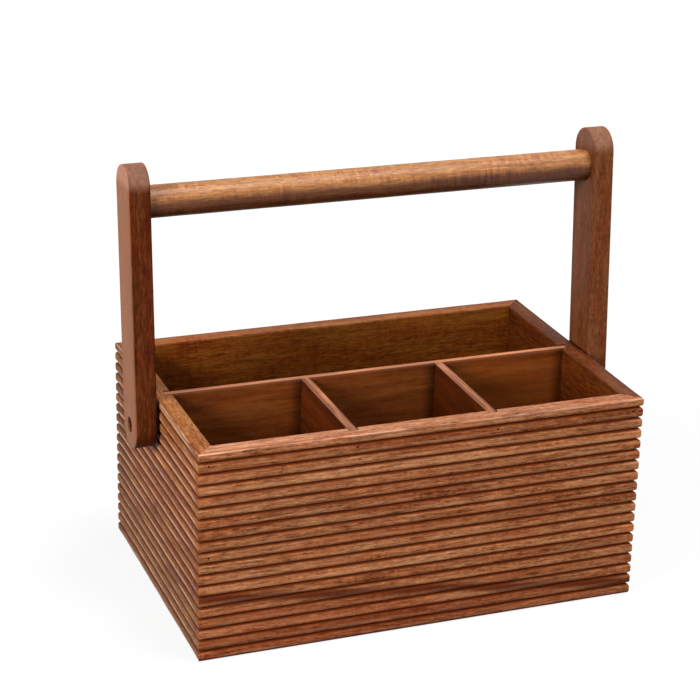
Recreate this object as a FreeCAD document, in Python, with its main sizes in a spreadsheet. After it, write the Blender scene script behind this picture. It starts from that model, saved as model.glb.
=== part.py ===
import FreeCAD, Part
import math
import os
import re
import Sketcher

# A wooden caddy with four compartments and a swinging handle. +Z is up and the
# front faces -Y. The origin is on the table, below the middle of the box.

sizes = {
    # the box, measured over the crests of its ribs
    "box_width": 318.4,
    "box_depth": 208.4,
    "wall_thickness": 12.4,
    # round-edged ribs parted by narrow quirks, the top one planed down to the rim
    "rib_count": 19,
    "rib_pitch": 8,
    "rib_relief": 2.4,
    "rib_round": 2.2,
    "quirk_width": 0.7,
    "rim_trim": 1.6,
    "rim_outer_round": 1.2,
    "rim_inner_round": 0.5,
    # the bottom panel, held in a groove all round
    "panel_thickness": 6,
    "panel_lift": 6,
    "panel_groove": 5,
    # the dividers, let into the walls and into each other
    "long_divider_thickness": 7.9,
    "long_divider_offset": 1.6,
    "short_divider_thickness": 7.3,
    "short_divider_spread": 50.2,
    "divider_drop": 0.8,
    "divider_round": 0.5,
    "wall_dado": 4.5,
    "divider_dado": 3.5,
    "glue_gap": 0.1,
    # the brads through the front and back walls
    "brad_length": 25,
    "brad_diameter": 1,
    "brad_head_diameter": 1.6,
    "brad_head_height": 0.8,
    "brad_point": 2,
    "brad_set": 0.3,
    "brad_inset": 7.3,
    "brad_edge": 4,
    "brad_drop": 9.2,
    # the handle's two arms
    "arm_gap": 1.7,
    "arm_thickness": 15.4,
    "arm_width": 31,
    "arm_tail": 16.6,
    "arm_rise": 180.2,
    "arm_round": 1.2,
    "handle_lean": 3.9,
    # the handle's round bar
    "bar_diameter": 22.4,
    "bar_rise": 153.8,
    "bar_socket": 8,
    # the pivots
    "pivot_height": 131,
    "pivot_play": 0.25,
    "running_clearance": 0.05,
    "counterbore_diameter": 11,
    "counterbore_depth": 8.5,
    "screw_head_diameter": 9.6,
    "screw_head_height": 3.6,
    "screw_key_size": 4,
    "screw_key_depth": 2,
    "shoulder_diameter": 6,
    "thread_diameter": 4.6,
    "thread_clearance": 0.1,
    "spacer_diameter": 14,
    "insert_diameter": 8,
    "insert_web": 1,
}

# heights and depths that several pieces share
box_height = "(rib_count * rib_pitch - rim_trim)"
panel_top = "(panel_lift + panel_thickness)"
divider_height = f"({box_height} - divider_drop - {panel_top} - glue_gap)"
long_divider_front = "(long_divider_offset - long_divider_thickness / 2)"
brad_depth = "(rib_relief + brad_set)"
seat_to_arm = "(rib_relief + arm_gap)"
seat_to_bearing = f"({seat_to_arm} + arm_thickness - counterbore_depth)"
insert_length = "(wall_thickness - rib_relief - wall_dado - insert_web)"
arm_inner_face = "(box_width / 2 + arm_gap)"
brad_rows = {
    "low": f"(ceil(({panel_top} + brad_edge) / rib_pitch) * rib_pitch)",  # hidden in a quirk
    "middle": "(rib_count * rib_pitch / 2)",
    "high": f"({box_height} - brad_drop)",
}
divider_brad_rows = {
    "middle": "(ceil(rib_count / 2) * rib_pitch)",  # hidden in a quirk
    "high": brad_rows["high"],
}

document = FreeCAD.newDocument("caddy")
sheet = document.addObject("Spreadsheet::Sheet", "Sizes")
for row, (name, size) in enumerate(sizes.items(), 1):
    sheet.set(f"A{row}", name.replace("_", " "))
    sheet.set(f"B{row}", str(size))
    sheet.setAlias(f"B{row}", name)
document.recompute()


def formula(words):
    """Turn a formula in the names of sizes into one that reads the sheet."""
    read = lambda found: "Sizes." + found.group() if found.group() in sizes else found.group()
    return re.sub(r"[a-z_]+", read, words)


def value(words):
    return float(sheet.evalExpression(formula(words)))


def new_body(label):
    body = document.addObject("PartDesign::Body", label)
    body.Label = label
    return body


def sketch_on(body, role, offset="0"):
    """Start a sketch on one of the body's own planes, moved along the plane's normal."""
    sketch = body.newObject("Sketcher::SketchObject", "Sketch")
    plane = next(feature for feature in body.Origin.OriginFeatures if feature.Role == role)
    sketch.AttachmentSupport = [(plane, "")]
    sketch.MapMode = "FlatFace"
    sketch.setExpression("AttachmentOffset.Base.z", formula(offset))
    return sketch


def constrain(sketch, kind, where, words):
    index = sketch.addConstraint(Sketcher.Constraint(kind, *where, value(words)))
    sketch.setExpression(f"Constraints[{index}]", formula(words))


def place_point(sketch, geometry, vertex, across, up):
    constrain(sketch, "DistanceX", (-1, 1, geometry, vertex), across)
    constrain(sketch, "DistanceY", (-1, 1, geometry, vertex), up)


def draw_outline(sketch, corners):
    """Draw a closed outline of straight lines."""
    points = [FreeCAD.Vector(value(across), value(up), 0) for across, up in corners]
    for start, end in zip(points, points[1:] + points[:1]):
        sketch.addGeometry(Part.LineSegment(start, end), False)
    for corner, (across, up) in enumerate(corners):
        before = (corner - 1) % len(corners)
        sketch.addConstraint(Sketcher.Constraint("Coincident", before, 2, corner, 1))
        place_point(sketch, corner, 1, across, up)


def draw_rectangle(sketch, left, right, bottom, top):
    draw_outline(sketch, [(left, bottom), (right, bottom), (right, top), (left, top)])


def draw_circle(sketch, across, up, diameter):
    centre = FreeCAD.Vector(value(across), value(up), 0)
    circle = Part.Circle(centre, FreeCAD.Vector(0, 0, 1), value(diameter) / 2)
    geometry = sketch.addGeometry(circle, False)
    place_point(sketch, geometry, 3, across, up)
    constrain(sketch, "Diameter", (geometry,), diameter)


def pad(body, sketch, length, side="One side", backward=False):
    feature = body.newObject("PartDesign::Pad", "Pad")
    feature.Profile = sketch
    feature.SideType = side
    feature.Reversed = backward
    feature.setExpression("Length", formula(length))
    body.Tip = feature
    document.recompute()
    return feature


def check_smaller(feature, volume):
    if not feature.Shape.Volume < volume - 1e-6:
        raise RuntimeError(f"{feature.Label} cuts nothing")


def cut(body, sketch, depth, along_normal=False):
    """Cut a pocket, against the sketch's normal unless told otherwise."""
    volume = body.Tip.Shape.Volume
    feature = body.newObject("PartDesign::Pocket", "Pocket")
    feature.Profile = sketch
    feature.Reversed = along_normal
    feature.setExpression("Length", formula(depth))
    body.Tip = feature
    document.recompute()
    check_smaller(feature, volume)


def revolve(body, sketch):
    """Turn a half section about the sketch's horizontal axis."""
    feature = body.newObject("PartDesign::Revolution", "Revolution")
    feature.Profile = sketch
    feature.ReferenceAxis = (sketch, ["H_Axis"])
    feature.Angle = 360
    body.Tip = feature
    document.recompute()


def round_edges(body, wanted, radius):
    """Round the edges of the body's last feature that the test picks."""
    base = body.Tip
    names = [f"Edge{index}" for index, edge in enumerate(base.Shape.Edges, 1) if wanted(edge)]
    feature = body.newObject("PartDesign::Fillet", "Fillet")
    feature.Base = (base, names)
    feature.setExpression("Radius", formula(radius))
    body.Tip = feature
    document.recompute()


def lies_at_height(edge, height):
    return all(abs(vertex.Z - height) < 1e-4 for vertex in edge.Vertexes)


def draw_rib(sketch, reach):
    """Draw one rib's section: a flat face with two rounded edges."""
    foot, shoulder, face = f"-({reach} - rib_relief)", f"-({reach} - rib_round)", f"-({reach})"
    low, high = "(quirk_width / 2)", "(rib_pitch - quirk_width / 2)"
    low_turn, high_turn = f"({low} + rib_round)", f"({high} - rib_round)"
    corners = [
        (shoulder, low), (foot, low), (foot, high), (shoulder, high), (face, high_turn), (face, low_turn),
    ]
    points = [FreeCAD.Vector(value(across), value(up), 0) for across, up in corners]
    bulge = value("rib_round") * math.sqrt(0.5)
    turn_centres = {
        3: FreeCAD.Vector(value(shoulder), value(high_turn), 0),
        5: FreeCAD.Vector(value(shoulder), value(low_turn), 0),
    }
    for corner, start in enumerate(points):
        end = points[(corner + 1) % len(points)]
        edge = Part.LineSegment(start, end)
        if corner in turn_centres:
            side = bulge if corner == 3 else -bulge
            edge = Part.Arc(start, turn_centres[corner] + FreeCAD.Vector(-bulge, side, 0), end)
        sketch.addGeometry(edge, False)
    for edge in (0, 1, 2, 4):
        place_point(sketch, edge, 1, *corners[edge])
        place_point(sketch, edge, 2, *corners[(edge + 1) % len(corners)])
    for arc in turn_centres:
        place_point(sketch, arc, 3, shoulder, high_turn if arc == 3 else low_turn)
        constrain(sketch, "Radius", (arc,), "rib_round")


def build_ribbed_board(body, run, reach):
    """Build a board along X with ribs on its -Y side and its rim on top."""
    plank = sketch_on(body, "YZ_Plane")
    plank_face, inner_face = f"-({reach} - rib_relief)", f"-({reach} - wall_thickness)"
    draw_rectangle(plank, plank_face, inner_face, "0", "rib_count * rib_pitch")
    pad(body, plank, f"2 * {run}", "Symmetric")

    rib_section = sketch_on(body, "YZ_Plane")
    draw_rib(rib_section, reach)
    rib = pad(body, rib_section, f"2 * {run}", "Symmetric")
    ribs = body.newObject("PartDesign::LinearPattern", "Ribs")
    ribs.Originals = [rib]
    ribs.Direction = (rib_section, ["V_Axis"])
    ribs.Mode = "Spacing"
    ribs.setExpression("Offset", formula("rib_pitch"))
    ribs.setExpression("Occurrences", formula("rib_count"))
    body.Tip = ribs
    document.recompute()

    planed = sketch_on(body, "XZ_Plane", f"{reach}")
    draw_rectangle(planed, f"-{run}", run, box_height, "rib_count * rib_pitch")
    cut(body, planed, "wall_thickness")

    top, middle = value(box_height), -value(f"{reach} - wall_thickness / 2")
    at_top = lambda edge: lies_at_height(edge, top) and edge.Length > value(run)
    round_edges(body, lambda edge: at_top(edge) and edge.Vertexes[0].Y < middle, "rim_outer_round")
    round_edges(body, lambda edge: at_top(edge) and edge.Vertexes[0].Y > middle, "rim_inner_round")


def cut_mitres(body, run, reach):
    """Cut both ends back at 45 degrees, so that the ribs run on round the corners."""
    for sign in ("", "-"):
        corner = sketch_on(body, "XY_Plane")
        inner = f"{run} - wall_thickness"
        draw_outline(corner, [
            (f"{sign}({run})", f"-({reach})"),
            (f"{sign}({run})", f"-({reach} - wall_thickness)"),
            (f"{sign}({inner})", f"-({reach} - wall_thickness)"),
        ])
        cut(body, corner, box_height, along_normal=True)


def cut_inner_grooves(body, run, reach, dados):
    """Cut the bottom panel's groove and the dados that the dividers stand in."""
    inner_plane = f"({reach} - wall_thickness)"
    groove = sketch_on(body, "XZ_Plane", inner_plane)
    draw_rectangle(groove, f"-{run}", run, "panel_lift - glue_gap", f"{panel_top} + glue_gap")
    cut(body, groove, "panel_groove", along_normal=True)
    for centre, thickness in dados:
        dado = sketch_on(body, "XZ_Plane", inner_plane)
        half = f"({thickness} / 2 + glue_gap)"
        draw_rectangle(dado, f"{centre} - {half}", f"{centre} + {half}", panel_top, box_height)
        cut(body, dado, "wall_dado", along_normal=True)


def cut_face_brad_bores(body, reach, places):
    """Bore a front or back wall for the brads that go in through its ribs."""
    head_bore = f"{brad_depth} + brad_head_height"
    shank_bore = f"{brad_depth} + brad_length + glue_gap"
    bores = (("brad_head_diameter", head_bore), ("brad_diameter", shank_bore))
    for diameter, depth in bores:
        sketch = sketch_on(body, "XZ_Plane", reach)
        for across, height in places:
            draw_circle(sketch, across, height, diameter)
        cut(body, sketch, depth)


def cut_end_brad_bores(body, run, reach):
    """Bore a side wall's two ends for the brads that reach into it."""
    for sign in ("", "-"):
        sketch = sketch_on(body, "YZ_Plane", f"{sign}({run})")
        for height in brad_rows.values():
            draw_circle(sketch, f"-({reach} - brad_inset)", height, "brad_diameter")
        cut(body, sketch, f"{brad_depth} + brad_length + glue_gap", along_normal=sign == "-")


def cut_pivot_seat(body, reach):
    """Cut the flat seat for the spacer, and the bore for the threaded insert."""
    sink = f"rib_relief + {insert_length} + glue_gap"
    bores = (
        ("spacer_diameter + 2 * glue_gap", "rib_relief"),
        ("insert_diameter + 2 * glue_gap", sink),
    )
    for diameter, depth in bores:
        sketch = sketch_on(body, "XZ_Plane", reach)
        draw_circle(sketch, "0", "pivot_height", diameter)
        cut(body, sketch, depth)


def new_wall(label, run, reach, turn, dados):
    """Build a wall as if it were the front one, and turn it to its side of the box."""
    body = new_body(label)
    build_ribbed_board(body, run, reach)
    cut_mitres(body, run, reach)
    cut_inner_grooves(body, run, reach, dados)
    body.Placement.Rotation = FreeCAD.Rotation(FreeCAD.Vector(0, 0, 1), turn)
    return body


def build_walls():
    half_width, half_depth = "box_width / 2", "box_depth / 2"
    corner_places = [
        (f"{sign}({half_width} - brad_inset)", height)
        for sign in ("-", "")
        for height in brad_rows.values()
    ]
    divider_places = [
        (f"{sign}short_divider_spread", height)
        for sign in ("-", "")
        for height in divider_brad_rows.values()
    ]
    short_dados = [
        ("-short_divider_spread", "short_divider_thickness"),
        ("short_divider_spread", "short_divider_thickness"),
    ]
    front = new_wall("front_wall", half_width, half_depth, 0, short_dados)
    cut_face_brad_bores(front, half_depth, corner_places + divider_places)
    back = new_wall("back_wall", half_width, half_depth, 180, [])
    cut_face_brad_bores(back, half_depth, corner_places)
    for label, turn, centre in (
        ("right_wall", 90, "long_divider_offset"),
        ("left_wall", 270, "-long_divider_offset"),
    ):
        side = new_wall(label, half_depth, half_width, turn, [(centre, "long_divider_thickness")])
        cut_end_brad_bores(side, half_depth, half_width)
        cut_pivot_seat(side, half_width)


def build_bottom_panel():
    body = new_body("bottom_panel")
    plan = sketch_on(body, "XY_Plane", "panel_lift")
    edge = "wall_thickness + panel_groove - glue_gap"
    half_width, half_depth = f"(box_width / 2 - {edge})", f"(box_depth / 2 - {edge})"
    draw_rectangle(plan, f"-{half_width}", half_width, f"-{half_depth}", half_depth)
    pad(body, plan, "panel_thickness")


def build_divider_board(label, left, right, front, back):
    """Build an upright board on the panel, with its two long top edges eased."""
    body = new_body(label)
    plan = sketch_on(body, "XY_Plane", f"{panel_top} + glue_gap")
    draw_rectangle(plan, left, right, front, back)
    pad(body, plan, divider_height)
    top = value(f"{panel_top} + glue_gap + {divider_height}")
    length = max(value(f"{right} - {left}"), value(f"{back} - {front}"))
    long_edge = lambda edge: lies_at_height(edge, top) and edge.Length > length - 1e-4
    round_edges(body, long_edge, "divider_round")
    return body


def build_dividers():
    half_length = "(box_width / 2 - wall_thickness + wall_dado - glue_gap)"
    back_face = "(long_divider_offset + long_divider_thickness / 2)"
    long_divider = build_divider_board(
        "long_divider", f"-{half_length}", half_length, long_divider_front, back_face
    )
    slot_base, slot_top = f"{panel_top} + glue_gap", f"{box_height} - divider_drop"
    slot_half = "(short_divider_thickness / 2 + glue_gap)"
    for centre in ("-short_divider_spread", "short_divider_spread"):
        slot = sketch_on(long_divider, "XZ_Plane", f"-{long_divider_front}")
        draw_rectangle(slot, f"{centre} - {slot_half}", f"{centre} + {slot_half}", slot_base, slot_top)
        cut(long_divider, slot, "divider_dado")

    front_end = "(-(box_depth / 2 - wall_thickness + wall_dado - glue_gap))"
    back_end = f"({long_divider_front} + divider_dado - glue_gap)"
    half = "short_divider_thickness / 2"
    for name, sign in (("left", "-"), ("right", "")):
        centre = f"{sign}short_divider_spread"
        short_divider = build_divider_board(
            f"short_divider_{name}", f"({centre} - {half})", f"({centre} + {half})", front_end, back_end
        )
        bores = sketch_on(short_divider, "XZ_Plane", f"-{front_end}")
        for height in divider_brad_rows.values():
            draw_circle(bores, centre, height, "brad_diameter")
        reach = f"(box_depth / 2 - {brad_depth} - brad_length - glue_gap)"
        cut(short_divider, bores, f"-{front_end} - {reach}")


def build_brad(label, across, height, from_front):
    """Build a brad with its head set below the ribs, pointing into the box."""
    body = new_body(label)
    section = sketch_on(body, "XY_Plane")
    draw_outline(section, [
        ("0", "0"),
        ("0", "brad_head_diameter / 2"),
        ("brad_head_height", "brad_head_diameter / 2"),
        ("brad_head_height", "brad_diameter / 2"),
        ("brad_length - brad_point", "brad_diameter / 2"),
        ("brad_length", "0"),
    ])
    revolve(body, section)
    turn, sign = (90, "-") if from_front else (-90, "")
    body.Placement.Rotation = FreeCAD.Rotation(FreeCAD.Vector(0, 0, 1), turn)
    body.setExpression("Placement.Base.x", formula(across))
    body.setExpression("Placement.Base.y", formula(f"{sign}(box_depth / 2 - {brad_depth})"))
    body.setExpression("Placement.Base.z", formula(height))


def build_brads():
    for side, sign in (("left", "-"), ("right", "")):
        for row, height in brad_rows.items():
            across = f"{sign}(box_width / 2 - brad_inset)"
            build_brad(f"front_{side}_brad_{row}", across, height, True)
            build_brad(f"back_{side}_brad_{row}", across, height, False)
        for row, height in divider_brad_rows.items():
            build_brad(f"divider_{side}_brad_{row}", f"{sign}short_divider_spread", height, True)


def lean_on_pivots(body):
    """Stand a handle piece on the pivot axis, leaning a little to the back."""
    body.Placement.Rotation = FreeCAD.Rotation(FreeCAD.Vector(1, 0, 0), -value("handle_lean"))
    body.setExpression("Placement.Rotation.Angle", formula("-handle_lean"))
    body.setExpression("Placement.Base.z", formula("pivot_height"))


def draw_arm(sketch):
    """Draw an arm's outline: two straight sides and two half-round ends."""
    low, high = "arm_width / 2 - arm_tail", "arm_rise - arm_width / 2"
    half, normal = value("arm_width / 2"), FreeCAD.Vector(0, 0, 1)
    bottom, top = FreeCAD.Vector(0, value(low), 0), FreeCAD.Vector(0, value(high), 0)
    side = FreeCAD.Vector(half, 0, 0)
    sketch.addGeometry(Part.ArcOfCircle(Part.Circle(top, normal, half), 0, math.pi), False)
    sketch.addGeometry(Part.LineSegment(top - side, bottom - side), False)
    sketch.addGeometry(Part.ArcOfCircle(Part.Circle(bottom, normal, half), math.pi, 2 * math.pi), False)
    sketch.addGeometry(Part.LineSegment(bottom + side, top + side), False)
    for geometry in range(4):
        following = (geometry + 1) % 4
        sketch.addConstraint(Sketcher.Constraint("Tangent", geometry, 2, following, 1))
    place_point(sketch, 0, 3, "0", high)
    place_point(sketch, 2, 3, "0", low)
    constrain(sketch, "Radius", (0,), "arm_width / 2")


def build_arm(label, sign):
    """Build an arm with its bar socket inside and its screw's counterbore outside."""
    body = new_body(label)
    on_right = sign == ""
    inner, outer = f"{sign}({arm_inner_face})", f"{sign}({arm_inner_face} + arm_thickness)"
    profile = sketch_on(body, "YZ_Plane", inner)
    draw_arm(profile)
    pad(body, profile, "arm_thickness", backward=not on_right)

    faces = [value(inner), value(outer)]
    on_face = lambda edge: any(
        all(abs(vertex.X - face) < 1e-4 for vertex in edge.Vertexes) for face in faces
    )
    round_edges(body, on_face, "arm_round")

    socket = sketch_on(body, "YZ_Plane", inner)
    draw_circle(socket, "0", "bar_rise", "bar_diameter + 2 * glue_gap")
    cut(body, socket, "bar_socket", along_normal=on_right)
    counterbore = sketch_on(body, "YZ_Plane", outer)
    draw_circle(counterbore, "0", "0", "counterbore_diameter")
    cut(body, counterbore, "counterbore_depth", along_normal=not on_right)
    bore = sketch_on(body, "YZ_Plane", inner)
    draw_circle(bore, "0", "0", "shoulder_diameter + 2 * running_clearance")
    cut(body, bore, "arm_thickness", along_normal=on_right)
    lean_on_pivots(body)


def build_bar():
    body = new_body("handle_bar")
    section = sketch_on(body, "YZ_Plane")
    draw_circle(section, "0", "bar_rise", "bar_diameter")
    pad(body, section, f"2 * ({arm_inner_face} + bar_socket - glue_gap)", "Symmetric")
    lean_on_pivots(body)


def seat_on_wall(body, sign):
    """Put a pivot piece at the flat seat in a side wall, facing outwards."""
    turn = 0 if sign == "" else 180
    body.Placement.Rotation = FreeCAD.Rotation(FreeCAD.Vector(0, 0, 1), turn)
    body.setExpression("Placement.Base.x", formula(f"{sign}(box_width / 2 - rib_relief)"))
    body.setExpression("Placement.Base.z", formula("pivot_height"))


def build_pivot_screw(label, sign):
    """Build a shoulder screw with a hexagon socket in its head."""
    body = new_body(label)
    section = sketch_on(body, "XY_Plane")
    thread_end = f"-({insert_length} - thread_clearance)"
    underside = f"({seat_to_bearing} + pivot_play)"
    head_top = f"({underside} + screw_head_height)"
    draw_outline(section, [
        (thread_end, "0"),
        (thread_end, "thread_diameter / 2"),
        ("0", "thread_diameter / 2"),
        ("0", "shoulder_diameter / 2"),
        (underside, "shoulder_diameter / 2"),
        (underside, "screw_head_diameter / 2"),
        (head_top, "screw_head_diameter / 2"),
        (head_top, "0"),
    ])
    revolve(body, section)
    key = sketch_on(body, "YZ_Plane", head_top)
    corner_circle = "(screw_key_size / sqrt(3))"
    draw_outline(key, [
        (f"{corner_circle} * cos({angle})", f"{corner_circle} * sin({angle})")
        for angle in range(0, 360, 60)
    ])
    cut(body, key, "screw_key_depth")
    seat_on_wall(body, sign)


def build_ring(label, sign, start, length, bore, diameter):
    """Build a plain ring on the pivot axis, outwards from its start."""
    body = new_body(label)
    section = sketch_on(body, "YZ_Plane", start)
    draw_circle(section, "0", "0", diameter)
    draw_circle(section, "0", "0", bore)
    pad(body, section, length)
    seat_on_wall(body, sign)


def build_pivots():
    for side, sign in (("left", "-"), ("right", "")):
        build_pivot_screw(f"{side}_pivot_screw", sign)
        build_ring(
            f"{side}_pivot_spacer", sign, "0", f"{seat_to_arm} - pivot_play",
            "shoulder_diameter + 2 * running_clearance", "spacer_diameter",
        )
        build_ring(
            f"{side}_pivot_insert", sign, f"-{insert_length}", insert_length,
            "thread_diameter + 2 * thread_clearance", "insert_diameter",
        )


def write_parts():
    document.recompute()
    for item in document.Objects:
        if "Invalid" in item.State or "Error" in item.State:
            raise RuntimeError(f"{item.Label} failed: {item.State}")
    bodies = [item for item in document.Objects if item.TypeId == "PartDesign::Body"]
    for body in bodies:
        if body.Shape.isNull() or not body.Shape.isValid() or len(body.Shape.Solids) != 1:
            raise RuntimeError(f"{body.Label} is not one valid solid")
    os.makedirs("parts", exist_ok=True)
    for body in bodies:
        body.Shape.exportStep(f"parts/{body.Label}.step")


build_walls()
build_bottom_panel()
build_dividers()
build_brads()
for arm_name, arm_sign in (("left_arm", "-"), ("right_arm", "")):
    build_arm(arm_name, arm_sign)
build_bar()
build_pivots()
write_parts()
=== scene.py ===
import math

import bpy
from mathutils import Matrix, Vector


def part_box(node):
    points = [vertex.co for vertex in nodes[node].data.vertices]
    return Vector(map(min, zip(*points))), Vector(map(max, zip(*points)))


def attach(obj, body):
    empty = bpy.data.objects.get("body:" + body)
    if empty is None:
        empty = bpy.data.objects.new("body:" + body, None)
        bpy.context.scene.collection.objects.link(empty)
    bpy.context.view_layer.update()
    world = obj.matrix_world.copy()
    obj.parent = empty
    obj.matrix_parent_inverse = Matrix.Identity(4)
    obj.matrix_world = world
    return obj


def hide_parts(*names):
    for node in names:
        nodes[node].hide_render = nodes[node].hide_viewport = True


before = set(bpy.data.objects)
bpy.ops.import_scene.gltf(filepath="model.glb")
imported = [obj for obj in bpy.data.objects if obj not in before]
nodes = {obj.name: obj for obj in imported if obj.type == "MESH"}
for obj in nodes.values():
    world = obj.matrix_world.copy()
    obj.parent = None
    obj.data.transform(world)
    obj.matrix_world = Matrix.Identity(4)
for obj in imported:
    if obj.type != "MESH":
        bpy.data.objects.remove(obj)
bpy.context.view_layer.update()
print("frame loaded:", len(nodes), "nodes")

camera = {
    "place": (-0.50880, -1.27973, 0.70123),
    "yaw": -20.997,  # degrees round Z, from +Y
    "pitch": -21.285,
    "roll": 1.448,
    "lens": 108.44,
    "sensor": 36,  # millimetres, as the lens
    "clip": (0.05, 30),
}


def addCamera(look):
    yaw, pitch, roll = (math.radians(look[k]) for k in ("yaw", "pitch", "roll"))
    ahead = Vector((
        -math.sin(yaw) * math.cos(pitch),
        math.cos(yaw) * math.cos(pitch),
        math.sin(pitch),
    ))
    level = ahead.cross(Vector((0, 0, 1))).normalized()
    upward = level.cross(ahead)
    across = math.cos(roll) * level + math.sin(roll) * upward
    rise = math.cos(roll) * upward - math.sin(roll) * level
    bpy.ops.object.camera_add()
    eye = bpy.context.object
    eye.name = "camera"
    turned = Matrix((across, rise, -ahead)).transposed().to_4x4()
    eye.matrix_world = Matrix.Translation(look["place"]) @ turned
    eye.data.sensor_width = look["sensor"]
    eye.data.lens = look["lens"]
    eye.data.clip_start, eye.data.clip_end = look["clip"]
    bpy.context.scene.camera = eye


addCamera(camera)
print("camera placed")


class Value:  # one socket, which adds up like a number
    def __init__(self, shading, socket):
        self.shading, self.socket = shading, socket

    def work(self, operation, *terms):
        settings = {"operation": operation}
        return self.shading.node("ShaderNodeMath", settings, dict(enumerate(terms)))

    def __add__(self, other):
        return self.work("ADD", self, other)

    def __sub__(self, other):
        return self.work("SUBTRACT", self, other)

    def __rsub__(self, other):
        return self.work("SUBTRACT", other, self)

    def __mul__(self, other):
        return self.work("MULTIPLY", self, other)

    def __truediv__(self, other):
        return self.work("DIVIDE", self, other)

    def __abs__(self):
        return self.work("ABSOLUTE", self)

    def floor(self):
        return self.work("FLOOR", self)

    def larger(self, other):
        return self.work("MAXIMUM", self, other)

    def ramp(self, low, high, start=0.0, end=1.0):  # eased from start at low to end at high
        return self.shading.node(
            "ShaderNodeMapRange",
            {"interpolation_type": "SMOOTHSTEP"},
            {"Value": self, "From Min": low, "From Max": high, "To Min": start, "To Max": end},
        )

    def fade(self, low, high):  # the same the other way: 1 at low, 0 at high
        return self.ramp(low, high, 1, 0)


class Shading:  # the nodes of one material, or of the world
    def __init__(self, owner):
        self.owner = owner
        owner.use_nodes = True
        self.tree = owner.node_tree
        self.tree.nodes.clear()

    def node(self, kind, settings=None, sockets=None, output=0):
        made = self.tree.nodes.new(kind)
        for setting, value in (settings or {}).items():
            if setting == "stops":
                while len(made.color_ramp.elements) < len(value):
                    made.color_ramp.elements.new(0.5)
                for element, (place, colour) in zip(made.color_ramp.elements, value):
                    element.position, element.color = place, colour
            else:
                setattr(made, setting, value)
        for socket, value in (sockets or {}).items():
            if isinstance(value, Value):
                self.tree.links.new(value.socket, made.inputs[socket])
            else:
                made.inputs[socket].default_value = value
        return Value(self, made.outputs[output]) if made.outputs else None

    def place(self):
        return self.node("ShaderNodeTexCoord", output="Object")

    def parts(self, vector):
        return [self.node("ShaderNodeSeparateXYZ", sockets={0: vector}, output=k) for k in range(3)]

    def vector(self, x, y, z):
        return self.node("ShaderNodeCombineXYZ", sockets={0: x, 1: y, 2: z})

    def vectorWork(self, operation, first, second):
        settings = {"operation": operation}
        return self.node("ShaderNodeVectorMath", settings, {0: first, 1: second})

    def noise(self, vector, size, detail=2.0, rough=0.5, twist=0.0):
        scaled = self.vectorWork("DIVIDE", vector, size)
        sockets = {"Scale": 1.0, "Detail": detail, "Roughness": rough, "Distortion": twist}
        return self.node("ShaderNodeTexNoise", sockets={"Vector": scaled, **sockets})

    def mix(self, factor, first, second, how="MIX"):
        settings = {"data_type": "RGBA", "blend_type": how}
        return self.node("ShaderNodeMix", settings, {0: factor, 6: first, 7: second}, 2)

    def stainAndShade(self, factor, colour, code, how="MULTIPLY"):  # blended first, then mixed in; carries real stain and painted shade
        return self.mix(factor, colour, self.mix(1, colour, tone(code), how))

    def grade(self, value, stops):
        return self.node("ShaderNodeValToRGB", {"stops": stops}, {0: value})

    def bump(self, height, depth, strength=1.0):
        sockets = {"Height": height, "Distance": depth, "Strength": strength}
        return self.node("ShaderNodeBump", sockets=sockets)

    def finish(self, sockets):
        surface = self.node("ShaderNodeBsdfPrincipled", sockets=sockets)
        self.node("ShaderNodeOutputMaterial", sockets={"Surface": surface})
        return self.owner


def newShading(name):
    return Shading(bpy.data.materials.new(name))


def tone(code):  # a written sRGB colour as linear light
    parts = [int(code[k:k + 2], 16) / 255 for k in (0, 2, 4)]
    linear = [c / 12.92 if c <= 0.04045 else ((c + 0.055) / 1.055) ** 2.4 for c in parts]
    return (*linear, 1)


def selectOnly(piece):
    for other in bpy.context.selected_objects:
        other.select_set(False)
    piece.select_set(True)
    bpy.context.view_layer.objects.active = piece


def dress(piece, material):
    piece.data.materials.clear()
    piece.data.materials.append(material)


quarter = math.pi / 2
alongX, alongY, alongZ = (0, 0, 0), (0, 0, quarter), (0, quarter, 0)
noiseMiddle = 0.5

grain = {  # size in metres along and across the grain, then the noise's detail, roughness, twist
    "bands": ((0.24, 0.017, 0.017), 3, 0.6, 0.5),
    "streaks": ((0.040, 0.0028, 0.0028), 3, 0.6, 0.5),
    "flecks": ((0.0085, 0.0012, 0.0012), 3, 0.6, 0.5),
    "fibres": ((0.0042, 0.0006, 0.0006), 3, 0.6, 0.5),
    "pores": ((0.0040, 0.0004, 0.0004), 1, 0.5, 0.0),
    "glints": ((0.0060, 0.0005, 0.0005), 1, 0.5, 0.4),
    "curl": ((0.0035, 0.02, 0.02), 2, 0.5, 0.8),
    "patches": ((0.06, 0.008, 0.008), 2, 0.5, 0.0),
    "patchEdge": (0.35, 0.65),
    "poreEdge": (0.60, 0.72),
    "glintEdge": (0.58, 0.72),
    "streakEdge": (0.3, 0.7),
    "stops": (0.15, 0.5, 0.85),  # where the dark, middle and light colours lie
    "roughSpread": 0.06,
    "fibreHeight": 0.5, "poreDepth": 0.5,  # shares of the bump
    "bump": 0.00025,
    "bumpStrength": 0.5,
}


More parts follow.
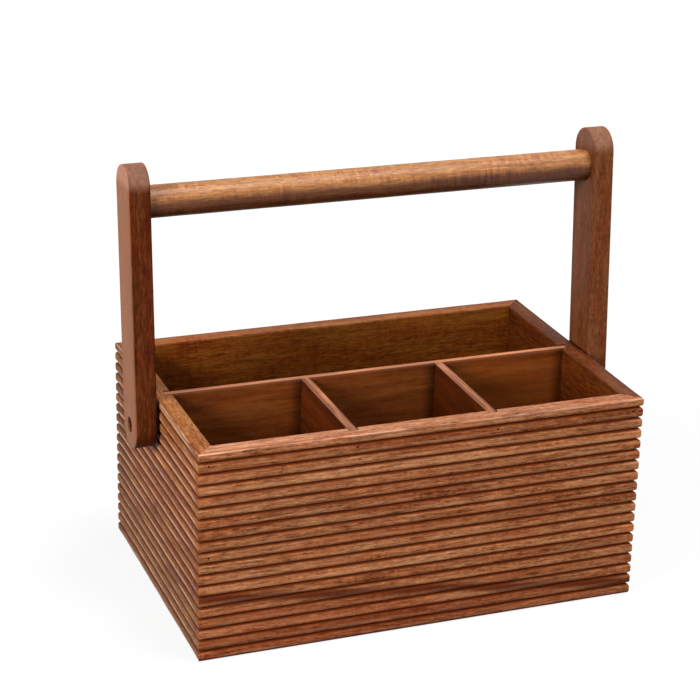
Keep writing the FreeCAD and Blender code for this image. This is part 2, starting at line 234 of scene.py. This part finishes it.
def woodColour(wood, grained, look):
    def figure(kind):
        return wood.noise(grained, *grain[kind])

    bands, streaks, flecks, fibres = (figure(k) for k in ("bands", "streaks", "flecks", "fibres"))
    patches = figure("patches").ramp(*grain["patchEdge"])
    curl = figure("curl")
    pores = figure("pores").ramp(*grain["poreEdge"])
    glints = figure("glints").ramp(*grain["glintEdge"])
    shade = (
        (bands - noiseMiddle) * look["bands"]
        + (streaks - noiseMiddle) * look["streaks"]
        + (flecks - noiseMiddle) * look["flecks"]
        + (fibres - noiseMiddle) * look["fibres"]
        + (curl - noiseMiddle) * patches * look["curl"]
        + glints * look["glints"]
        + grain["stops"][1]
    )
    colours = [tone(look[k]) for k in ("dark", "middle", "light")]
    colour = wood.grade(shade, list(zip(grain["stops"], colours)))
    colour = wood.mix(patches * look["patches"], colour, tone(look["patch"]), "MULTIPLY")
    colour = wood.mix(pores * look["pores"], colour, colours[0])
    relief = fibres * grain["fibreHeight"] + (1 - pores) * grain["poreDepth"]
    return colour, relief, streaks


def finishWood(wood, colour, relief, streaks, look):
    least, most = look["rough"] - grain["roughSpread"], look["rough"] + grain["roughSpread"]
    return wood.finish({
        "Base Color": colour,
        "Roughness": streaks.ramp(*grain["streakEdge"], least, most),
        "Specular IOR Level": look["gloss"],
        "Normal": wood.bump(relief, grain["bump"], grain["bumpStrength"]),
    })


def turnedGrain(wood, spot, look):
    sockets = {"Vector": spot, "Rotation": look["grain"], "Location": look["shift"]}
    return wood.node("ShaderNodeMapping", sockets=sockets)


def plainWood(name, look, *touches):  # each touch changes the colour in some places
    wood = newShading(name)
    spot = wood.place()
    colour, relief, streaks = woodColour(wood, turnedGrain(wood, spot, look), look)
    for touch in touches:
        colour = touch(wood, colour, wood.parts(spot), streaks, look)
    return finishWood(wood, colour, relief, streaks, look)


def paintedTopLight(wood, colour, where, streaks, look):  # painted highlight on up-facing tops, broken up by the grain
    chips = streaks.ramp(*grain["streakEdge"], look["topLeast"], 1)
    return wood.mix(where * chips, colour, tone(look["topTone"]), "ADD")


print("shader maths and plain wood ready")


ribs = {
    "pitch": 0.008,
    "top": 0.152,  # where the first rib would start if the rim weren't trimmed
    "relief": 0.0024,
    "reliefFade": (0.0002, 0.0006),  # past it, the stain of the inside begins
    "lowerHalf": (0.45, 0.55),  # share of a rib where its lower half begins
    "drift": 0.02,  # how far a rib's figure may be shifted from its neighbour's
    "driftRise": 0.5,  # share of that upwards
    "rim": (0.1486, 0.1498),  # heights where its stain begins
    "edge": (0.0004, 0.0011), "edgeStart": (0.00001, 0.0002),  # depths of the worn crests, which also carry a painted highlight
    "chips": (0.35, 0.6),
    "uneven": 0.0006,  # how far the painted shade of a quirk creeps on to the ribs
    "unevenNoise": ((0.007, 0.007, 0.003), 3, 0.6),
    "foot": (0.0015, 0.0030),  # height of the painted contact shadow along the bottom edge of the walls
    "footTone": "301204",
}


def heartwood(wood, colour, spot, outside, look):  # a slanting dark streak across the ribs
    x, y, z = wood.parts(spot)
    wander = (wood.noise(spot, look["wanderSize"]) - noiseMiddle) * look["wander"]
    line = z - x * look["slope"] - look["height"] + wander
    core = abs(line).fade(look["half"] * look["solid"], look["half"]) * outside
    below = line.fade(-look["belowReach"], 0.0) * outside
    colour = wood.mix(below * look["belowDepth"], colour, tone(look["belowTone"]), "MULTIPLY")
    return wood.mix(core * look["depth"], colour, tone(look["colour"]))


def ribbedWood(name, look):
    wood = newShading(name)
    spot = wood.place()
    x, y, z = wood.parts(spot)
    reach = abs(y) if look["facing"] == "Y" else abs(x)
    depth = look["reach"] - reach  # below the crests of the ribs
    sunkMost = [ribs["relief"] + fade for fade in ribs["reliefFade"]]
    outside = depth.fade(*sunkMost)
    count = (ribs["top"] - z) / ribs["pitch"]
    number = count.floor()
    down = count - number  # 0 at a rib's top edge, 1 at its bottom edge
    lower = down.ramp(*ribs["lowerHalf"])

    chance = wood.node(
        "ShaderNodeTexWhiteNoise", {"noise_dimensions": "1D"}, {"W": number + look["seed"]}
    )
    slide = chance * outside * ribs["drift"]
    moved = wood.vectorWork("ADD", spot, wood.vector(slide, slide, slide * ribs["driftRise"]))
    colour, relief, streaks = woodColour(wood, turnedGrain(wood, moved, look), look)
    tint = wood.grade(chance, [(0, tone(look["ribDark"])), (1, tone(look["ribLight"]))])
    colour = wood.mix(outside, colour, wood.mix(1, colour, tint, "MULTIPLY"))
    if "heart" in look:
        colour = heartwood(wood, colour, spot, outside, look["heart"])
    if "lowBackShade" in look:  # painted shade: darker and duller low down and towards the back
        lowBackShade = look["lowBackShade"]
        where = z.fade(*lowBackShade["height"]).larger(y.ramp(*lowBackShade["back"])) * outside
        colour = wood.stainAndShade(where, colour, lowBackShade["tone"])

    rim = z.ramp(*ribs["rim"])
    colour = wood.stainAndShade(rim, colour, look["rimTone"], look["rimWay"])
    # lighter crest edges: wear, with a painted highlight on the ribs' lower edges and the rim's
    # rounding
    edge = depth.fade(*ribs["edge"]) * depth.ramp(*ribs["edgeStart"])
    wearAndSheen = edge * (lower * look["ribWearAndSheen"]).larger(rim * look["rimWearAndSheen"])
    colour = wood.mix(wearAndSheen * streaks.ramp(*ribs["chips"]), colour, tone(look["wearAndSheenColour"]))

    # painted shade in the grooves, reaching highest on the upper shoulders under the rib above
    creep = (wood.noise(spot, *ribs["unevenNoise"]) - noiseMiddle) * ribs["uneven"]
    upperShade = (depth + creep).ramp(*look["upperQuirk"])
    lowerShade = (depth + creep).ramp(*look["lowerQuirk"])
    sunk = (upperShade * (1 - lower) + lowerShade * lower) * outside * (1 - rim)
    colour = wood.mix(sunk * look["grooveShade"], colour, tone(look["grooveShadeColour"]))
    # painted contact shadow along the bottom edge
    colour = wood.mix(z.fade(*ribs["foot"]), colour, tone(ribs["footTone"]))
    # the inner faces' own tone, with painted shade for the inside
    colour = wood.stainAndShade((1 - outside) * (1 - rim), colour, look["insideToneAndShade"])
    return finishWood(wood, colour, relief, streaks, look)


walls = {
    "merge": 1e-6,  # corners nearer than this are one
    "step": 0.006,  # between the slices along a wall
    "depth": 0.0006,  # deepest dip in a crest
    "size": 0.022,  # of the dips, along the wall
    "hold": 0.012,  # near the mitres the crests stay true
    "holdShare": 0.3,
    "crest": 0.0019,  # depth under a crest where the dips end
    "smooth": 32,  # degrees
}

wallLook = {
    "dark": "572d16", "middle": "a2643d", "light": "d09a61",
    "bands": 0.6, "streaks": 0.8, "flecks": 0.9, "fibres": 0.9, "curl": 0.5, "glints": 0.25,
    "patches": 0.6, "patch": "f4c8a8", "pores": 0.5, "rough": 0.55, "gloss": 0.08,
    "ribDark": "d8c4b8", "ribLight": "fffcf8",
    "upperQuirk": (0.0001, 0.0010), "lowerQuirk": (0.0008, 0.0020),  # depths where the painted shade of the grooves begins
    "grooveShade": 0.92, "grooveShadeColour": "5b2406",
    "ribWearAndSheen": 0.1, "rimWearAndSheen": 0.4, "wearAndSheenColour": "d8a482", "rimWay": "MULTIPLY",
}

frontLook = dict(
    wallLook, facing="Y", side=-1, reach=0.1042, seed=3.0, grain=alongX, shift=(0.4, 0.2, 0.3),
    dark="6b3b21", middle="cb885a", light="f3b17e",
    bands=0.55, streaks=0.65, flecks=1.1, fibres=1.1, ribDark="dccabe",
    grooveShadeColour="6b2a08", rimWearAndSheen=0.75, wearAndSheenColour="f4c4a4",
    rimTone="e6e4f4", insideToneAndShade="9f7e57",
    heart={
        "slope": -0.116, "height": 0.0285, "half": 0.0055, "solid": 0.2, "depth": 0.92,
        "wander": 0.006, "wanderSize": (0.09, 0.02, 0.02), "colour": "602408",
        "belowReach": 0.012, "belowDepth": 0.55, "belowTone": "e4bcae",
    },
)
backLook = dict(
    wallLook, facing="Y", side=1, reach=0.1042, seed=31.0, grain=alongX, shift=(1.4, 0.7, 0.1),
    light="c4905e", streaks=0.75, flecks=0.8, fibres=0.85, glints=0.15,
    rimTone="e9dcc3", insideToneAndShade="c0a761",
)
leftLook = dict(
    wallLook, facing="X", side=-1, reach=0.1592, seed=57.0, grain=alongY, shift=(2.1, 0.9, 0.5),
    dark="532b12", middle="9c5f34", light="c89354", patch="f4cfa0",
    ribWearAndSheen=0.5, rimWearAndSheen=0.6, wearAndSheenColour="e0b8a0", lowerQuirk=(0.0018, 0.0030), grooveShade=0.8,
    rimTone="0c0400", rimWay="SCREEN", insideToneAndShade="9f7e57",
    lowBackShade={"height": (0.02, 0.09), "back": (0.03, 0.09), "tone": "d6e2f3"},
)
rightLook = dict(
    wallLook, facing="X", side=1, reach=0.1592, seed=83.0, grain=alongY, shift=(3.3, 0.4, 0.8),
    rimTone="9f846c", insideToneAndShade="8e6c42",
)


def copyNode(node, name):
    piece = bpy.data.objects.new(name, nodes[node].data.copy())
    bpy.context.scene.collection.objects.link(piece)
    selectOnly(piece)
    bpy.ops.object.mode_set(mode="EDIT")
    bpy.ops.mesh.select_all(action="SELECT")
    bpy.ops.mesh.remove_doubles(threshold=walls["merge"])
    bpy.ops.object.mode_set(mode="OBJECT")
    bpy.ops.mesh.customdata_custom_splitnormals_clear()
    return piece


def sliceAlong(piece, axis, low, high, step):
    direction = Vector([float(k == axis) for k in range(3)])
    bpy.ops.object.mode_set(mode="EDIT")
    count = int((high - low) / step)
    for k in range(1, count):
        place = direction * (low + (high - low) * k / count)
        bpy.ops.mesh.select_all(action="SELECT")
        bpy.ops.mesh.bisect(plane_co=place, plane_no=direction)
    bpy.ops.object.mode_set(mode="OBJECT")


def ripple(piece, way, depth, size, group=""):
    cloud = bpy.data.textures.new(piece.name + "_ripple", "CLOUDS")
    cloud.noise_scale = size
    wave = piece.modifiers.new("ripple", "DISPLACE")
    wave.texture = cloud
    wave.texture_coords = "LOCAL"
    wave.direction = way
    wave.vertex_group = group
    wave.strength = depth
    wave.mid_level = 0
    selectOnly(piece)
    bpy.ops.object.modifier_apply(modifier=wave.name)


def buildWall(node, name, look):
    piece = copyNode(node, name)
    low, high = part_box(node)
    axis = "XY".index(look["facing"])
    along = 1 - axis
    sliceAlong(piece, along, low[along], high[along], walls["step"])
    reach = max(abs(low[axis]), abs(high[axis]))
    end = max(abs(low[along]), abs(high[along]))
    group = piece.vertex_groups.new(name="crests")
    for vertex in piece.data.vertices:
        sunk = reach - abs(vertex.co[axis])
        inset = end - abs(vertex.co[along])
        held = min(1, max(0, inset / walls["hold"] - walls["holdShare"]))
        weight = (1 - sunk / walls["crest"]) * held
        if sunk < walls["crest"] and weight > 0:
            group.add([vertex.index], weight, "REPLACE")
    ripple(piece, look["facing"], -look["side"] * walls["depth"], walls["size"], "crests")
    selectOnly(piece)
    bpy.ops.object.shade_smooth_by_angle(angle=math.radians(walls["smooth"]))
    dress(piece, ribbedWood(name.replace("ribbed", "wood"), look))
    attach(piece, "caddy")
    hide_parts(node)
    print(name, "made:", len(piece.data.polygons), "faces")


buildWall("front_wall", "ribbed_front", frontLook)
buildWall("back_wall", "ribbed_back", backLook)
buildWall("left_wall", "ribbed_left", leftLook)
buildWall("right_wall", "ribbed_right", rightLook)

longBox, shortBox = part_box("long_divider"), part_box("short_divider_right")
dividerHeight = longBox[1].z
dividerSeat = 0.0044  # how deep its ends sit in the walls

dividerLook = {
    "dark": "3e1907", "middle": "733a17", "light": "955425", "shift": (5.2, 1.3, 0.4),
    "bands": 1.0, "streaks": 0.6, "flecks": 0.35, "fibres": 0.35, "curl": 0.15, "glints": 0.05,
    "patches": 0.5, "patch": "f0d0a0", "pores": 0.2, "rough": 0.55, "gloss": 0.06,
    "grain": alongX,
    "top": (dividerHeight - 0.0004, dividerHeight - 0.0002),
    "stripEdge": (-0.0012, -0.0003),  # it fades out just inside its half width
    "stripDark": 0.6,  # painted shade on the rounded edges beside it
}
longLook = dict(
    dividerLook, topTone="be8464", topLeast=0.5,
    stripMiddle=(longBox[0].y + longBox[1].y) / 2 + 0.0015,
    stripHalf=(longBox[1].y - longBox[0].y) / 2 - 0.0010,
)
shortLook = dict(
    dividerLook, dark="280d02", middle="4c1e06", light="642d0d", shift=(6.1, 0.3, 0.9),
    grain=alongY, topTone="b87c5a", topLeast=0.25,
    stripMiddle=(shortBox[0].x + shortBox[1].x) / 2,
    stripHalf=(shortBox[1].x - shortBox[0].x) / 2,
)
compartments = {  # painted light low down and to the right, and painted shade in the corners, on the face of the long divider that they show
    "lowHeight": (0.112, 0.135), "low": 0.35,
    "rightStart": (0.05, 0.08), "right": 0.55,
    "paintedLightTone": "703a14",
    "corners": (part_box("short_divider_left")[0].x, shortBox[0].x, longBox[1].x - dividerSeat),
    "cornerReach": 0.011, "cornerEnd": 0.001, "corner": 0.7, "cornerShadeTone": "1e0c04",
    "frontFade": 0.001,
}
panelLook = dict(dividerLook, dark="4a2010", middle="804223", light="a05c34", shift=(7.4, 0.6, 0.2))


def compartmentLightAndShade(wood, colour, parts, streaks, look):
    x, y, z = parts
    spots = compartments
    # painted light, lower down and towards the right
    low = z.fade(*spots["lowHeight"]) * spots["low"] + x.ramp(*spots["rightStart"]) * spots["right"]
    colour = wood.mix(low, colour, tone(spots["paintedLightTone"]), "ADD")
    front = y.fade(look["stripMiddle"] - spots["frontFade"], look["stripMiddle"])
    # painted shade in the corners by the short dividers and the right wall
    for corner in spots["corners"]:
        cornerShade = x.ramp(corner - spots["cornerReach"], corner)
        cornerShade = cornerShade * x.fade(corner, corner + spots["cornerEnd"]) * front
        colour = wood.mix(cornerShade * spots["corner"], colour, tone(spots["cornerShadeTone"]))
    return colour


def litTopStrip(wood, colour, across, z, streaks, look):  # painted highlight along the top, with painted shade on its rounded edges
    top = z.ramp(*look["top"])
    outer, inner = (look["stripHalf"] + edge for edge in look["stripEdge"])
    strip = abs(across - look["stripMiddle"]).fade(outer, inner)
    colour = wood.mix((1 - strip) * top * look["stripDark"], colour, tone(look["dark"]))
    return paintedTopLight(wood, colour, top * strip, streaks, look)


def longTop(wood, colour, parts, streaks, look):
    return litTopStrip(wood, colour, parts[1], parts[2], streaks, look)


def shortTop(wood, colour, parts, streaks, look):
    return litTopStrip(wood, colour, abs(parts[0]), parts[2], streaks, look)


longWood = plainWood("long_divider_wood", longLook, compartmentLightAndShade, longTop)
shortWood = plainWood("short_divider_wood", shortLook, shortTop)
dress(nodes["long_divider"], longWood)
dress(nodes["short_divider_left"], shortWood)
dress(nodes["short_divider_right"], shortWood)
dress(nodes["bottom_panel"], plainWood("panel_wood", panelLook))
print("dividers and bottom panel dressed")

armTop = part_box("left_arm")[1].z

armLook = {
    "dark": "411c05", "middle": "5b2a0e", "light": "783d20", "shift": (8.3, 0.1, 0.7),
    "bands": 1.1, "streaks": 1.3, "flecks": 1.1, "fibres": 1.1, "curl": 0.4, "glints": 0.12,
    "patches": 0.6, "patch": "f0b890", "pores": 0.45, "rough": 0.5, "gloss": 0.07,
    "grain": alongZ,
    "top": (armTop - 0.0165, armTop - 0.0085), "topTone": "6c564a", "topLeast": 0.8,
    "outer": (0.1750, 0.1759), "outerTone": "6f4e37",
    "inner": (0.1613, 0.1622), "innerTone": "dedede",
}
rightArmLook = dict(
    armLook, dark="552a15", middle="7c492a", light="9a613b", shift=(8.9, 1.7, 0.2),
    bands=0.45, streaks=0.5, flecks=0.9, topTone="4f4640",
)


def armFaces(wood, colour, parts, streaks, look):
    x, y, z = parts
    # painted highlight on the rounded tops
    colour = paintedTopLight(wood, colour, z.ramp(*look["top"]), streaks, look)
    # outer faces: lighter wood with a painted sheen
    colour = wood.mix(abs(x).ramp(*look["outer"]), colour, tone(look["outerTone"]), "ADD")
    # inner faces: painted shade
    return wood.stainAndShade(abs(x).fade(*look["inner"]), colour, look["innerTone"])


dress(nodes["left_arm"], plainWood("left_arm_wood", armLook, armFaces))
dress(nodes["right_arm"], plainWood("right_arm_wood", rightArmLook, armFaces))
print("arms dressed")

bar = {
    "sides": 96,
    "step": 0.005,  # between the slices along the bar
    "wave": 0.0003,
    "waveSize": 0.03,
    "endRound": 0.0006,
    "endSegments": 3,
    "smooth": 30,  # degrees
    "dark": "5c2f12", "middle": "a66a38", "light": "d09a62", "shift": (9.5, 0.8, 0.6),
    "bands": 0.5, "streaks": 0.65, "flecks": 0.65, "fibres": 0.65, "curl": 0.9, "glints": 0.12,
    "patches": 0.4, "patch": "f0d0a8", "pores": 0.35, "rough": 0.42, "gloss": 0.35,
    "grain": alongX,
    "under": (-0.0006, 0.0054), "underTone": "9f897c",  # heights over the bar's middle between which the painted shade of its underside fades out
}


def buildBar(look):
    low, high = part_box("handle_bar")
    middle = (low + high) / 2

    # painted shade on the underside of the bar
    def paintedUndersideShade(wood, colour, parts, streaks, look):
        under = [middle.z + height for height in look["under"]]
        return wood.stainAndShade(parts[2].fade(*under), colour, look["underTone"])

    bpy.ops.mesh.primitive_cylinder_add(
        vertices=look["sides"], radius=(high.z - low.z) / 2, depth=high.x - low.x,
        location=middle, rotation=(0, quarter, 0),
    )
    piece = bpy.context.object
    piece.name = "turned_bar"
    selectOnly(piece)
    bpy.ops.object.transform_apply(location=True, rotation=True, scale=True)
    ends = piece.modifiers.new("ends", "BEVEL")
    ends.width, ends.segments = look["endRound"], look["endSegments"]
    ends.limit_method = "ANGLE"
    bpy.ops.object.modifier_apply(modifier=ends.name)
    sliceAlong(piece, 0, low.x, high.x, look["step"])
    ripple(piece, "NORMAL", -look["wave"], look["waveSize"])
    bpy.ops.object.shade_smooth_by_angle(angle=math.radians(look["smooth"]))
    dress(piece, plainWood("bar_wood", look, paintedUndersideShade))
    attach(piece, "handle")
    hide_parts("handle_bar")
    print("turned bar made:", len(piece.data.polygons), "faces")


buildBar(bar)

fittings = {
    "screw_steel": {"dark": "8a8884", "light": "b4b2ae", "rough": 0.34, "metal": 1, "gloss": 0.5},
    "insert_brass": {"dark": "a8823e", "light": "c9a45a", "rough": 0.32, "metal": 1, "gloss": 0.5},
    "brad_putty": {"dark": "1c0c04", "light": "38200f", "rough": 0.7, "metal": 0, "gloss": 0.1},
}
surface = {
    "clouds": (0.004, 0.004, 0.004),
    "scratches": (0.0002, 0.0012, 0.0002),
    "edge": (0.3, 0.7),
    "roughSpread": 0.08,
    "bump": 0.00005,
    "bumpStrength": 0.4,
}


def fittingFinish(name, look):
    metal = newShading(name)
    spot = metal.place()
    clouds = metal.noise(spot, surface["clouds"], 3)
    scratches = metal.noise(spot, surface["scratches"], 2, 0.6)
    colours = tone(look["dark"]), tone(look["light"])
    least, most = look["rough"] - surface["roughSpread"], look["rough"] + surface["roughSpread"]
    return metal.finish({
        "Base Color": metal.grade(clouds, list(zip(surface["edge"], colours))),
        "Metallic": look["metal"],
        "Roughness": scratches.ramp(*surface["edge"], least, most),
        "Specular IOR Level": look["gloss"],
        "Normal": metal.bump(scratches, surface["bump"], surface["bumpStrength"]),
    })


finishes = {name: fittingFinish(name, look) for name, look in fittings.items()}
for node in nodes:
    if node.endswith(("_screw", "_spacer")):
        dress(nodes[node], finishes["screw_steel"])
    elif node.endswith("_insert"):
        dress(nodes[node], finishes["insert_brass"])
    elif "_brad_" in node:  # their heads are stained with the wood
        dress(nodes[node], finishes["brad_putty"])
print("fittings dressed")

studio = {
    "floorSize": 12.0,
    "bounce": ("5a5a5a", "707070"),  # what the floor throws back on to the wood
    "paper": ("e6e6e6", "f0f0f0"),  # what is seen of it
    "mottle": (0.4, 0.4, 0.4),
    "mottleEdge": (0.3, 0.7),
    "floorGlow": 0.8,  # share of the seen floor that shines by itself, near the object
    "glowReach": (0.25, 0.8),
    "glow": 1.06,
    "world": 0.07,
}


def seen(shading):  # 1 on camera, glossy and transmission rays
    kinds = ("Is Camera Ray", "Is Glossy Ray", "Is Transmission Ray")
    sight, glossy, through = (shading.node("ShaderNodeLightPath", output=k) for k in kinds)
    return sight.larger(glossy).larger(through)


def addFloor(look):
    bpy.ops.mesh.primitive_plane_add(size=look["floorSize"])
    floor = bpy.context.object
    floor.name = "floor"
    paper = newShading("floor_paper")
    spot = paper.place()
    mottle = paper.noise(spot, look["mottle"]).ramp(*look["mottleEdge"])
    away = paper.node("ShaderNodeVectorMath", {"operation": "LENGTH"}, {0: spot}, "Value")
    sight = seen(paper)
    bounce, pale = (
        paper.mix(mottle, tone(look[k][0]), tone(look[k][1])) for k in ("bounce", "paper")
    )
    colour = paper.mix(sight, bounce, pale)
    matte = paper.node("ShaderNodeBsdfDiffuse", sockets={"Color": colour})
    glowing = {"Color": (1, 1, 1, 1), "Strength": look["glow"]}
    glow = paper.node("ShaderNodeEmission", sockets=glowing)
    share = away.ramp(*look["glowReach"], look["floorGlow"], 1)
    both = paper.node("ShaderNodeMixShader", sockets={0: sight * share, 1: matte, 2: glow})
    paper.node("ShaderNodeOutputMaterial", sockets={"Surface": both})
    floor.data.materials.append(paper.owner)


def addWorld(look):
    bpy.context.scene.world = bpy.data.worlds.new("studio")
    air = Shading(bpy.context.scene.world)
    soft, white = (
        air.node("ShaderNodeBackground", sockets={"Color": (1, 1, 1, 1), "Strength": strength})
        for strength in (look["world"], 1.0)
    )
    both = air.node("ShaderNodeMixShader", sockets={0: seen(air), 1: soft, 2: white})
    air.node("ShaderNodeOutputWorld", sockets={"Surface": both})


lamps = {
    "key": {"place": (-1.5, -0.65, 0.8), "size": 0.7, "power": 30},
    "top": {"place": (0.35, -0.3, 1.6), "size": 0.8, "power": 18},
    "fill": {"place": (0.9, -1.9, 0.7), "size": 1.2, "power": 6},
    "back": {"place": (1.75, 1.1, 0.6), "size": 1.0, "power": 12},
}
lampAim = Vector((0, 0, 0.12))


def addLamp(name, look):
    bpy.ops.object.light_add(type="AREA", location=look["place"])
    lamp = bpy.context.object
    lamp.name = name
    lamp.data.shape = "DISK"
    lamp.data.size = look["size"]
    lamp.data.energy = look["power"]
    aim = lampAim - Vector(look["place"])
    lamp.rotation_euler = aim.to_track_quat("-Z", "Y").to_euler()


addFloor(studio)
addWorld(studio)
for name, look in lamps.items():
    addLamp(name, look)
bpy.context.scene.view_settings.view_transform = "Standard"
print("floor and lamps placed")
